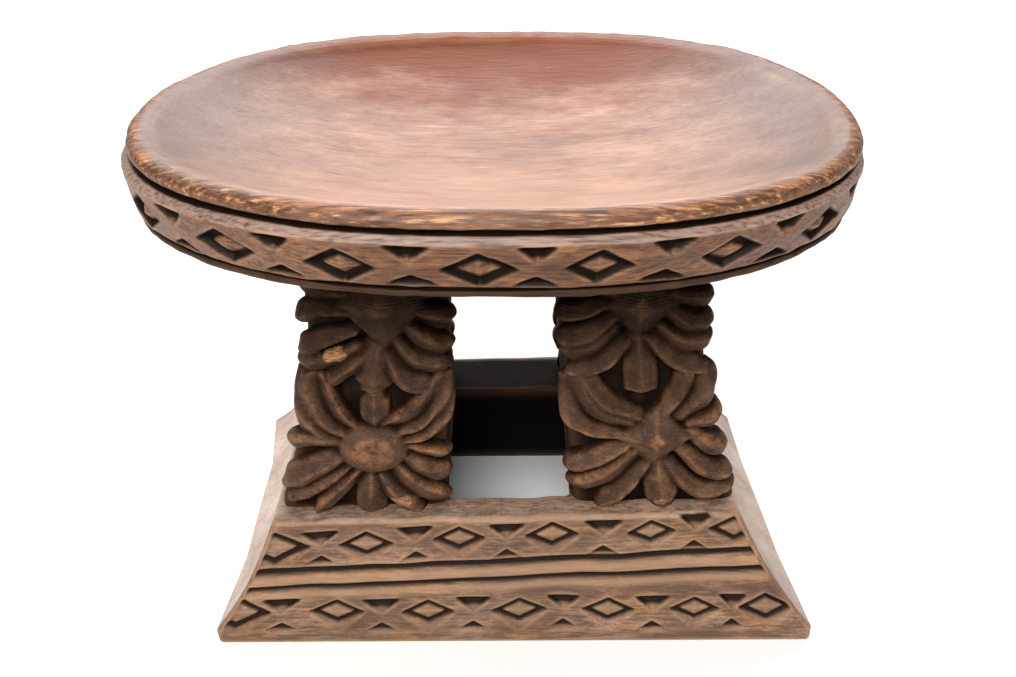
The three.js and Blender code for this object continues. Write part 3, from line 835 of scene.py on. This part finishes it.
# A field averaged over a reach given in grid steps.
def blurred(field, reach):
    padded = np.pad(field, int(reach * 3), mode="edge")
    freqs = [np.fft.fftfreq(n) for n in padded.shape]
    falloff = np.exp(-2 * (np.pi * reach) ** 2 * (freqs[0][:, None] ** 2 + freqs[1][None] ** 2))
    soft = np.fft.ifft2(np.fft.fft2(padded) * falloff).real
    edge = int(reach * 3)
    return soft[edge:-edge, edge:-edge]


# One closed body: a grid of points closed behind by a fan to a point inside the post.
def sheetMesh(name, top, inside):
    rows, columns = top.shape[:2]
    index = np.arange(rows * columns).reshape(rows, columns)
    quads = np.stack([index[:-1, :-1], index[:-1, 1:], index[1:, 1:], index[1:, :-1]], -1).reshape(-1, 4)
    border = np.concatenate([index[0, :-1], index[:-1, -1], index[-1, :0:-1], index[:0:-1, 0]])
    pole = rows * columns
    fan = [[int(b), int(a), pole] for a, b in zip(border, np.roll(border, -1))]
    mesh = bpy.data.meshes.new(name)
    points = np.concatenate([top.reshape(-1, 3), [inside]]) * mm
    mesh.from_pydata(points.tolist(), [], quads.tolist() + fan)
    mesh.validate()
    facesOut(mesh)
    mesh.shade_smooth()
    piece = bpy.data.objects.new(name, mesh)
    bpy.context.scene.collection.objects.link(piece)
    return piece


reliefSizes = {
    "step": 0.7,
    "wall": 1.7,  # how far a leg's steep side runs
    "fullness": 1.14,
    "legHeight": 10.5,
    "wrap": 13,  # how far the carving runs round the post's corners
    "under": 2.5,  # how deep the relief's root is let into the post
    "lower": (84, 196),
    "upper": (178, 269.5),
}


def makeRelief(corner, level, seed):
    row, side = corner.split("_")
    turned = row == "back"
    sideX = -1 if side == "left" else 1
    designSide = -sideX if turned else sideX
    design = reliefs["front_" + ("left" if designSide < 0 else "right") + "_" + level]
    postLow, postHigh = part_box("post_" + corner)
    bottomTop = (postLow.z / mm, postHigh.z / mm)
    middle = np.array(design["middle"], float)
    dice = np.random.default_rng(seed)
    drift = 1.2 if turned else 0.0
    step = reliefSizes["step"]
    heights = np.arange(*reliefSizes[level], step)
    axis, inner, reach = postSpan(heights, *bottomTop)
    half = (reach - inner) / 2 + reliefSizes["wrap"]
    shares = np.linspace(-1, 1, int(2 * half.max() / step))
    across = (axis + designSide * (inner + reach) / 2)[:, None] + half[:, None] * shares
    up = np.broadcast_to(heights[:, None], across.shape)
    x, z = across - middle[0], up - middle[1]
    x = x + 1.2 * (lumps(np.stack([across, up, 0 * up], -1), 16, seed + 50) - 0.5)
    z = z + 1.2 * (lumps(np.stack([across, up, 0 * up], -1), 16, seed + 51) - 0.5)
    raised = bossHeight(x, z, *design["boss"])
    for key in ("drop", "head"):
        if key in design:
            start, end, width = design[key]
            raised = np.maximum(raised, legHeight(x, z, legPath([start, end]), width, 11, 0.0))
    for *knots, width in design["legs"]:
        moved = [np.array(k, float) + dice.normal(size=2) * drift for k in knots]
        height = reliefSizes["legHeight"] + dice.normal() * 0.7
        raised = np.maximum(raised, legHeight(x, z, legPath(moved), width, height, dice.uniform(-0.5, 0.5)))
    places = np.stack([across, up, np.full(up.shape, float(seed))], -1)
    marks = 0.9 * (lumps(places, 4.5, seed + 40) - 0.5) + 1.6 * (lumps(places, 12, seed + 41) - 0.5)
    local = np.abs(shares)[None] * half[:, None] - (half[:, None] - reliefSizes["wrap"])
    inward = np.where(np.sign(shares)[None] == -designSide, 0.9, 0.5)
    wrapEnd = ease(-local, -reliefSizes["wrap"], -reliefSizes["wrap"] + 2)
    raised = raised * (1 - inward * ease(local, -5, 7)) * wrapEnd
    edge = ease(up, heights[0], heights[0] + 1.5) * (1 - ease(up, heights[-1] - 1.0, heights[-1]))
    raised = raised * edge
    depth = np.where(raised > 0.05, raised + marks * ease(raised, 0.5, 4), 0)
    depth = blurred(depth, 1.15) - reliefSizes["under"] * (1 - ease(raised, 0, 1.5))
    spot = onPost(across, up, depth, bottomTop, designSide)
    centre = axis.mean() + designSide * ((inner + reach) / 2).mean()
    inside = np.array([centre, -(postSizes["face"] - 12), heights.mean()])
    if turned:
        spot = np.stack([2 * axis[:, None] - spot[..., 0], -spot[..., 1], spot[..., 2]], -1)
        inside = np.array([2 * axis.mean() - inside[0], -inside[1], inside[2]])
    spot = drawInner(spot, corner, sideX, bottomTop)
    piece = sheetMesh("relief_" + corner + "_" + level + "_carved", spot, inside)
    nearBy = blurred(raised, 2.2 / step)
    around = blurred(raised, 5.5 / step)
    crest = np.clip((raised - nearBy) / 1.6, 0, 1) * ease(raised, 3, 9)
    # hollow: painted shade, partly dirt, on the low ground between the legs and in the creases beside them
    hollow = np.clip((nearBy - raised) / 1.9, 0, 1) + np.clip((around - raised) / 4.0, 0, 1)
    hollow = hollow + 1 - ease(raised, 1.5, 6.0)
    bossTop = design["boss"][3]
    bare = ease(bossHeight(x, z, *design["boss"]), bossTop * 0.8, bossTop * 0.9)
    hollow = blurred(np.clip(hollow, 0, 1), 1.2)
    fresh = np.zeros(raised.shape)
    for breakX, breakZ, reachX, reachZ in [] if turned else design.get("breaks", []):
        ragged = 0.9 * (lumps(places, 3.5, seed + 60) - 0.5)
        apart = np.hypot((x - breakX) / reachX, (z - breakZ) / reachZ) + ragged
        fresh = np.maximum(fresh, (1 - ease(apart, 0.9, 1.0)) * ease(raised, 3, 5))
    keepValues(piece.data, "fresh", np.append(fresh, 0))
    keepValues(piece.data, "crest", np.append(np.clip(crest + bare * 0.9, 0, 1), 0))
    keepValues(piece.data, "hollow", np.append(np.clip(hollow * (1 - bare), 0, 1), 1))
    return piece


def linear(hexColour):
    channels = [int(hexColour[k:k + 2], 16) / 255 for k in (1, 3, 5)]
    return [c / 12.92 if c <= 0.04045 else ((c + 0.055) / 1.055) ** 2.4 for c in channels] + [1.0]


# Adds a node. Each setting is a property, a socket's own value or colour, or a link from another node.
def addNode(tree, kind, settings, output=0):
    node = tree.nodes.new("ShaderNode" + kind)
    for key, value in settings.items():
        if isinstance(key, str) and key not in node.inputs:
            setattr(node, key, value)
        elif hasattr(value, "is_linked"):
            tree.links.new(value, node.inputs[key])
        else:
            node.inputs[key].default_value = linear(value) if isinstance(value, str) else value
    return node.outputs[output] if len(node.outputs) else node


# How much of something shows: masks multiplied together. A mask is a value, or (value, low, high, at high,
# at low), which goes from at low to at high as the value goes from low to high.
def shareOf(tree, *masks):
    total = None
    for mask in masks:
        mask = mask if isinstance(mask, tuple) else (mask, 0, 1)
        value, low, high, atHigh, atLow = mask + (1, 0)[len(mask) - 3:]
        share = addNode(tree, "MapRange", {"Value": value, "From Min": low, "From Max": high,
                                           "To Min": atLow, "To Max": atHigh})
        if total is not None:
            share = addNode(tree, "Math", {"operation": "MULTIPLY", 0: total, 1: share})
        total = share
    return total


# A start value with weighted values added to it.
def sumOf(tree, start, *parts):
    total = start
    for value, weight in parts:
        total = addNode(tree, "Math", {"operation": "MULTIPLY_ADD", 0: value, 1: weight, 2: total})
    return total


# Lays a colour over another wherever the masks let it show.
def coat(tree, under, over, *masks, how="MIX"):
    share = shareOf(tree, *masks)
    return addNode(tree, "Mix", {"data_type": "RGBA", "blend_type": how, 0: share, 6: under, 7: over}, 2)


# Runs through a list of colours as the value rises.
def tones(tree, value, stops):
    colour = stops[0][1]
    for (low, _), (high, over) in zip(stops, stops[1:]):
        colour = coat(tree, colour, over, (value, low, high))
    return colour


# Noise whose lumps are about size millimetres, stretched along the grain, which runs along X.
def pattern(tree, where, size, detail=4, rough=0.55, stretch=(1, 1, 1), shift=0.0):
    scaled = addNode(tree, "VectorMath", {"operation": "MULTIPLY", 0: where, 1: stretch})
    moved = addNode(tree, "VectorMath", {"operation": "ADD", 0: scaled, 1: (shift, shift, shift)})
    return addNode(tree, "TexNoise", {"Vector": moved, "Scale": 1 / (size * mm), "Detail": detail,
                                      "Roughness": rough})


# rings about a heart 150 mm under the floor, at a spacing chosen so that they show
ringSizes = {"spacing": 1.7, "heart": (-12, -150), "warp": 12, "ragged": 1.6}


# Year rings of a log that lies along the seat: the distance from its heart, in rings, bent a little.
def growthRings(tree, where):
    heartY, heartZ = ringSizes["heart"]
    warp = pattern(tree, where, 60, 3, 0.5, (0.5, 1, 1), 3.1)
    ragged = pattern(tree, where, 5, 3, 0.6, (0.22, 1, 1))
    fromHeart = addNode(tree, "VectorMath", {"operation": "MULTIPLY_ADD", 0: where, 1: (0, 1, 1),
                                             2: (0, -heartY * mm, -heartZ * mm)})
    far = addNode(tree, "VectorMath", {"operation": "LENGTH", 0: fromHeart}, "Value")
    bent = sumOf(tree, far, (warp, ringSizes["warp"] * mm), (ragged, ringSizes["ragged"] * mm))
    turns = sumOf(tree, 0, (bent, 2 * math.pi / (ringSizes["spacing"] * mm)))
    wave = addNode(tree, "Math", {"operation": "SINE", 0: turns})
    # the rings come and go, as they do under a worn surface
    clear = pattern(tree, where, 18, 3, 0.6, (0.4, 1, 1), 2.4)
    return shareOf(tree, (wave, -1, 1), (clear, 0.35, 0.65, 1, 0.08))


# A new material, its nodes, the place on the stool, and the values kept on the mesh.
def startMaterial(name, marks):
    material = bpy.data.materials.new(name)
    material.use_nodes = True
    tree = material.node_tree
    tree.nodes.clear()
    where = addNode(tree, "TexCoord", {}, "Object")
    kept = {mark: addNode(tree, "Attribute", {"attribute_name": mark}, "Fac") for mark in marks}
    return material, tree, where, kept


woodGloss = {"ior": 1.5, "clean": 0.4, "dirty": 0.04}  # specular level of clean wood and of packed dirt


def finishWood(tree, colour, rough, height, strength, distance, dirtAndShade):
    clean, dirty = woodGloss["clean"], woodGloss["dirty"]
    if isinstance(dirtAndShade, float):
        shine = clean + (dirty - clean) * dirtAndShade
    else:
        shine = shareOf(tree, (dirtAndShade, 0, 1, dirty, clean))
    normal = addNode(tree, "Bump", {"Strength": strength, "Distance": distance * mm, "Height": height})
    surface = addNode(tree, "BsdfPrincipled", {"Base Color": colour, "Roughness": rough, "Normal": normal,
                                               "IOR": woodGloss["ior"], "Specular IOR Level": shine})
    addNode(tree, "OutputMaterial", {"Surface": surface})


seatTones = {
    "dish": [(0.32, "#835843"), (0.5, "#a1725a"), (0.68, "#b3866f")],
    "paleStreak": "#cda083",
    "greyStreak": "#7d5d51",
    "paintedFrontReflection": "#c9a28e",
    "backRed": "#7a3a1b",
    "ends": "#725d56",
    "band": [(0.32, "#4c2d1a"), (0.5, "#704628"), (0.68, "#94653f")],
    "lip": "#a3694a",
    "lipFaceToneAndShade": "#5a3214",
    "lipDark": "#4c2810",
    "lipPale": "#d59d66",
    "rings": "#7a5644",
    "grain": "#8a6450",
    "pores": "#5c392b",
    "strip": "#8f7b72",
    "crest": "#b98f6f",
    "under": "#2a1c14",
    "dirtAndShade": "#1a100a",
}


def seatWood():
    # hardwood rubbed smooth by hands and cloth: warm, paler where it is used, with faint rings and pores; the
    # front of the dish is painted paler still as a reflection, and the underside, grooves and pockets are
    # painted dark as shade
    material, tree, where, kept = startMaterial("hand-rubbed hardwood", (
        "inDish", "polished", "lipFaceToneAndShade", "strip", "crest", "under", "hollow"))
    inDish = kept["inDish"]
    rings = growthRings(tree, where)
    fibre = pattern(tree, where, 1.5, 3, 0.6, (0.07, 1, 1))
    streak = pattern(tree, where, 7, 4, 0.65, (0.16, 1, 1), 6.6)
    pores = pattern(tree, where, 3.2, 2, 0.5, (0.35, 1, 1), 7.7)  # coarser than wood's pores, to show
    cloud = pattern(tree, where, 45, 5, 0.6, (0.6, 1, 1), 1.3)
    blotch = pattern(tree, where, 20, 5, 0.65, (0.5, 1, 1), 5.2)
    lipFibre = pattern(tree, where, 2.4, 4, 0.7, (0.07, 1, 1), 3.3)
    along = addNode(tree, "SeparateXYZ", {0: where}, "X")
    back = addNode(tree, "SeparateXYZ", {0: where}, "Y")
    outwards = addNode(tree, "Math", {"operation": "ABSOLUTE", 0: along})
    backMark = sumOf(tree, 0, (back, 9.0), (blotch, 1.3))
    endMark = sumOf(tree, 0, (outwards, 5.0), (blotch, 0.5))
    dish = tones(tree, cloud, seatTones["dish"])
    dish = coat(tree, dish, seatTones["paleStreak"], (streak, 0.52, 0.72, 0.4))
    dish = coat(tree, dish, seatTones["greyStreak"], (streak, 0.46, 0.3, 0.4))
    # painted reflection: the front of the dish made paler, as the sheen of the white backdrop
    dish = coat(tree, dish, seatTones["paintedFrontReflection"], (backMark, 0.9, -0.6, 0.75))
    dish = coat(tree, dish, seatTones["backRed"], (backMark, 1.05, 1.65, 0.95))
    dish = coat(tree, dish, seatTones["ends"], (endMark, 0.7, 1.15, 0.85))
    colour = coat(tree, tones(tree, blotch, seatTones["band"]), dish, inDish)
    lip = addNode(tree, "Math", {"operation": "SUBTRACT", "use_clamp": True, 0: kept["polished"], 1: inDish})
    colour = coat(tree, colour, seatTones["lip"], lip, (blotch, 0.35, 0.6, 0.8))
    # the lip's front face darker below its crest: partly a browner tone, partly painted shade
    colour = coat(tree, colour, seatTones["lipFaceToneAndShade"], (kept["lipFaceToneAndShade"], 0, 1, 0.85))
    colour = coat(tree, colour, seatTones["lipDark"], lip, (lipFibre, 0.5, 0.38))
    colour = coat(tree, colour, seatTones["lipPale"], lip, (lipFibre, 0.53, 0.64, 0.8))
    ringShare = shareOf(tree, rings, (inDish, 0, 1, 0.06, 0.4))
    colour = coat(tree, colour, seatTones["rings"], ringShare, how="MULTIPLY")
    grain = shareOf(tree, (fibre, 0.56, 0.36), (inDish, 0, 1, 0.3, 0.9))
    colour = coat(tree, colour, seatTones["grain"], grain, how="MULTIPLY")
    colour = coat(tree, colour, seatTones["pores"], (pores, 0.27, 0.2, 0.55))
    colour = coat(tree, colour, seatTones["strip"], kept["strip"], (fibre, 0.3, 0.6, 0.85))
    colour = coat(tree, colour, seatTones["crest"], kept["crest"], (streak, 0.3, 0.65, 0.8))
    # painted shade, partly dirt: the underside and the band's foot darkened
    colour = coat(tree, colour, seatTones["under"], kept["under"])
    # painted shade, partly grime: the pockets, grooves and concave places darkened
    colour = coat(tree, colour, seatTones["dirtAndShade"], (kept["hollow"], 0.1, 0.8))
    rough = sumOf(tree, 0.36, (blotch, 0.25))
    height = sumOf(tree, 0, (ringShare, 1.2), (fibre, 0.8))
    dirtAndShade = sumOf(tree, kept["hollow"], (kept["under"], 1))
    finishWood(tree, colour, rough, height, 0.5, 0.5, dirtAndShade)
    return material


postTones = {
    "ground": [(0.3, "#090503"), (0.55, "#120a06"), (0.75, "#21150d")],
    "fibre": "#160e09",
    "crest": "#5d4030",
    "dirtAndShade": "#0f0906",
}


def postWood():
    # hardwood cut with a knife: nearly black ground, partly dirty wood and partly painted shade of the space
    # under the seat, dull brown where the knife turned
    material, tree, where, kept = startMaterial("dark dirty ground and painted shade", ("crest", "hollow"))
    fibre = pattern(tree, where, 1.6, 3, 0.6, (0.1, 1, 1))
    cloud = pattern(tree, where, 22, 5, 0.65, (1, 1, 1), 2.2)
    colour = tones(tree, cloud, postTones["ground"])
    colour = coat(tree, colour, postTones["fibre"], (fibre, 0, 1, 0.4))
    colour = coat(tree, colour, postTones["crest"], (kept["crest"], 0, 1, 0.5))
    # painted shade, partly dirt: the dips darkened
    colour = coat(tree, colour, postTones["dirtAndShade"], kept["hollow"])
    rough = sumOf(tree, 0.6, (cloud, 0.2))
    finishWood(tree, colour, rough, fibre, 0.4, 0.4, 0.95)
    return material


reliefTones = {
    "wood": [(0.3, "#2b190f"), (0.5, "#472d1d"), (0.7, "#69482f")],
    "rings": "#24140b",
    "grit": "#7d5a40",
    "fibre": "#22130b",
    "rubbed": "#96663f",
    "seatShade": "#140a05",
    "dirtAndShade": "#070302",
    "broken": "#a87a52",
}


def reliefWood():
    # the same knife-cut wood where hands and cloth have rubbed the crests back to orange-brown
    material, tree, where, kept = startMaterial("rubbed carving", ("crest", "hollow", "fresh"))
    rings = growthRings(tree, where)
    fibre = pattern(tree, where, 1.4, 3, 0.6, (0.12, 1, 1))
    cloud = pattern(tree, where, 18, 5, 0.65, (1, 1, 1), 4.2)
    worn = pattern(tree, where, 8, 5, 0.7, (1, 1, 1), 8.4)
    grit = pattern(tree, where, 1.1, 3, 0.7, (0.6, 1, 1), 17.3)  # real grit is too fine to show
    height = addNode(tree, "SeparateXYZ", {0: where}, "Z")
    wear = shareOf(tree, kept["crest"], (worn, 0.4, 0.66))
    colour = tones(tree, cloud, reliefTones["wood"])
    colour = coat(tree, colour, reliefTones["rings"], (rings, 0, 1, 0.5))
    colour = coat(tree, colour, reliefTones["grit"], (grit, 0.54, 0.72, 0.55))
    colour = coat(tree, colour, reliefTones["fibre"], (fibre, 0.52, 0.36, 0.5))
    colour = coat(tree, colour, reliefTones["rubbed"], (wear, 0, 1, 0.85))
    # painted shade: the carving is darkened towards the top, where the seat overhangs it
    colour = coat(tree, colour, reliefTones["seatShade"], (height, 0.14, 0.23, 0.74))
    # painted shade, partly dirt: the low ground and the creases darkened
    colour = coat(tree, colour, reliefTones["dirtAndShade"], (kept["hollow"], 0, 1, 0.97))
    colour = coat(tree, colour, reliefTones["broken"], kept["fresh"], (fibre, 0.3, 0.6, 0.75))
    rough = sumOf(tree, 0.66, (wear, -0.18))
    bumps = sumOf(tree, 0, (rings, 0.8), (fibre, 1), (grit, 1))
    seatShaded = shareOf(tree, (height, 0.15, 0.25, 0.6))
    dirtAndShade = sumOf(tree, 0.35, (kept["hollow"], 1), (seatShaded, 1))
    finishWood(tree, colour, rough, bumps, 0.6, 0.6, dirtAndShade)
    return material


baseTones = {
    "face": [(0.34, "#4e3829"), (0.5, "#76563f"), (0.66, "#977760")],
    "warmPatch": "#ad7a4a",
    "greyPatch": "#5b4a44",
    "flank": [(0.3, "#a89286"), (0.5, "#c0ab9d"), (0.7, "#cfbeb2")],
    "rings": "#59402f",
    "mottle": "#4a3224",
    "fibre": "#4f3626",
    "grit": "#4c3526",
    "crest": "#ac8564",
    "dust": "#a78c79",
    "ledge": "#140d09",
    "dirtAndShade": "#1f130b",
    "well": "#080504",
}


def baseWood():
    # hardwood cut with a knife and left dry: tan faces, pinkish grey smooth ends, dark in the cuts from grime
    # and painted shade; painted shade also darkens the back of the ledge and the well, and painted highlights
    # lighten the cuts' floors
    material, tree, where, kept = startMaterial("dusty carved plinth", (
        "flank", "crest", "dust", "ledge", "hollow", "inner"))
    rings = growthRings(tree, where)
    fibre = pattern(tree, where, 1.5, 3, 0.65, (0.09, 1, 1))
    cloud = pattern(tree, where, 30, 5, 0.65, (0.5, 1, 1), 6.1)
    patch = pattern(tree, where, 15, 5, 0.65, (0.4, 1, 1), 9.3)
    mottle = pattern(tree, where, 6, 5, 0.75, (0.3, 1, 1), 14.1)
    grit = pattern(tree, where, 1.2, 3, 0.7, (0.5, 1, 1), 19.7)  # real grit is too fine to show
    speck = pattern(tree, where, 3, 4, 0.75, (0.5, 1, 1), 12.2)
    colour = tones(tree, cloud, baseTones["face"])
    colour = coat(tree, colour, baseTones["warmPatch"], (patch, 0.54, 0.66, 0.8))
    colour = coat(tree, colour, baseTones["greyPatch"], (patch, 0.42, 0.3, 0.5))
    colour = coat(tree, colour, tones(tree, cloud, baseTones["flank"]), kept["flank"])
    onFace = (kept["flank"], 0, 1, 0.25, 1)
    colour = coat(tree, colour, baseTones["rings"], (rings, 0, 1, 0.3), onFace)
    colour = coat(tree, colour, baseTones["mottle"], (mottle, 0.5, 0.36, 0.7), onFace)
    colour = coat(tree, colour, baseTones["fibre"], (fibre, 0.56, 0.38, 0.8), onFace)
    colour = coat(tree, colour, baseTones["grit"], (grit, 0.5, 0.34, 0.5), onFace)
    # crest colour: wear on the crests, and a painted highlight where lit was added
    colour = coat(tree, colour, baseTones["crest"], (kept["crest"], 0, 1, 0.6))
    colour = coat(tree, colour, baseTones["dust"], kept["dust"], (patch, 0.3, 0.62), (speck, 0.36, 0.56, 0.8))
    # painted shade under the seat on the back of the ledge's top
    colour = coat(tree, colour, baseTones["ledge"], kept["ledge"])
    # painted shade, partly grime: the cuts darkened
    colour = coat(tree, colour, baseTones["dirtAndShade"], (kept["hollow"], 0.15, 0.85))
    # painted shade: the inside of the well near black
    colour = coat(tree, colour, baseTones["well"], kept["inner"])
    rough = sumOf(tree, 0.6, (cloud, 0.15))
    dirtAndShade = sumOf(tree, kept["inner"], (kept["ledge"], 1), (kept["hollow"], 0.8))
    bumps = sumOf(tree, 0, (rings, 0.5), (fibre, 1), (speck, 1))
    finishWood(tree, colour, rough, bumps, 0.6, 0.7, dirtAndShade)
    return material


def place(piece, nodes, material):
    piece.data.materials.clear()
    piece.data.materials.append(material)
    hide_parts(*nodes)
    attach(piece, "root")


place(makeSeat(), ["seat"], seatWood())
print("stool: seat carved")
place(makeBase(), ["base"], baseWood())
print("stool: base carved")
postFinish = postWood()
reliefFinish = reliefWood()
seed = 100
for row, sideY in (("front", -1), ("back", 1)):
    for side, sideX in (("left", -1), ("right", 1)):
        corner = row + "_" + side
        seed += 10
        place(makePost(corner, sideX, sideY, seed), ["post_" + corner], postFinish)
        for level in ("lower", "upper"):
            seed += 3
            name = "relief_" + corner + "_" + level
            place(makeRelief(corner, level, seed), [name], reliefFinish)
print("stool: posts and reliefs carved")


studio = {
    "camera": (5.1, -633.75, 550.7),
    "pitch": 31.41,  # degrees below level
    "turn": -0.373,
    "lens": 38.27,
    "floorReach": 6,  # metres, as are the lights' places and sizes
    "lights": {
        "overhead": ((-0.2, 2.0, 2.1), (0, 0.1, 0.25), (2.8, 1.5), 86),
        "key": ((-0.35, -1.6, 1.8), (0, 0, 0.15), (1.2, 0.9), 60),
    },
    "daylight": 0.45,
}


def areaLight(name, where, target, size, power):
    light = bpy.data.lights.new(name, "AREA")
    light.shape = "RECTANGLE"
    light.size, light.size_y = size
    light.energy = power
    lamp = bpy.data.objects.new(name, light)
    bpy.context.scene.collection.objects.link(lamp)
    lamp.location = where
    direction = np.array(target) - np.array(where)
    flat = math.hypot(direction[0], direction[1])
    lamp.rotation_euler = (math.atan2(flat, -direction[2]), 0, math.atan2(-direction[0], direction[1]))


def makeStudio():
    floorMesh = bpy.data.meshes.new("floor")
    reach = studio["floorReach"]
    spots = [(-reach, -reach, 0), (reach, -reach, 0), (reach, reach, 0), (-reach, reach, 0)]
    floorMesh.from_pydata(spots, [], [(0, 1, 2, 3)])
    floor = bpy.data.objects.new("floor", floorMesh)
    bpy.context.scene.collection.objects.link(floor)
    material = bpy.data.materials.new("white paper")
    material.use_nodes = True
    shader = material.node_tree.nodes["Principled BSDF"]
    shader.inputs["Base Color"].default_value = linear("#f4f3f1")
    shader.inputs["Roughness"].default_value = 0.9
    floorMesh.materials.append(material)
    world = bpy.data.worlds.new("studio")
    world.use_nodes = True
    world.node_tree.nodes["Background"].inputs[0].default_value = linear("#ffffff")
    world.node_tree.nodes["Background"].inputs[1].default_value = studio["daylight"]
    bpy.context.scene.world = world
    for name, facts in studio["lights"].items():
        areaLight(name, *facts)
    camera = bpy.data.cameras.new("camera")
    camera.sensor_width = 36
    camera.lens = studio["lens"]
    camera.clip_end = 50
    view = bpy.data.objects.new("camera", camera)
    bpy.context.scene.collection.objects.link(view)
    view.location = [v * mm for v in studio["camera"]]
    view.rotation_euler = (math.radians(90 - studio["pitch"]), 0, math.radians(studio["turn"]))
    bpy.context.scene.camera = view
    bpy.context.scene.view_settings.view_transform = "Standard"


makeStudio()
print("stool: studio set")

bpy.context.view_layer.update()
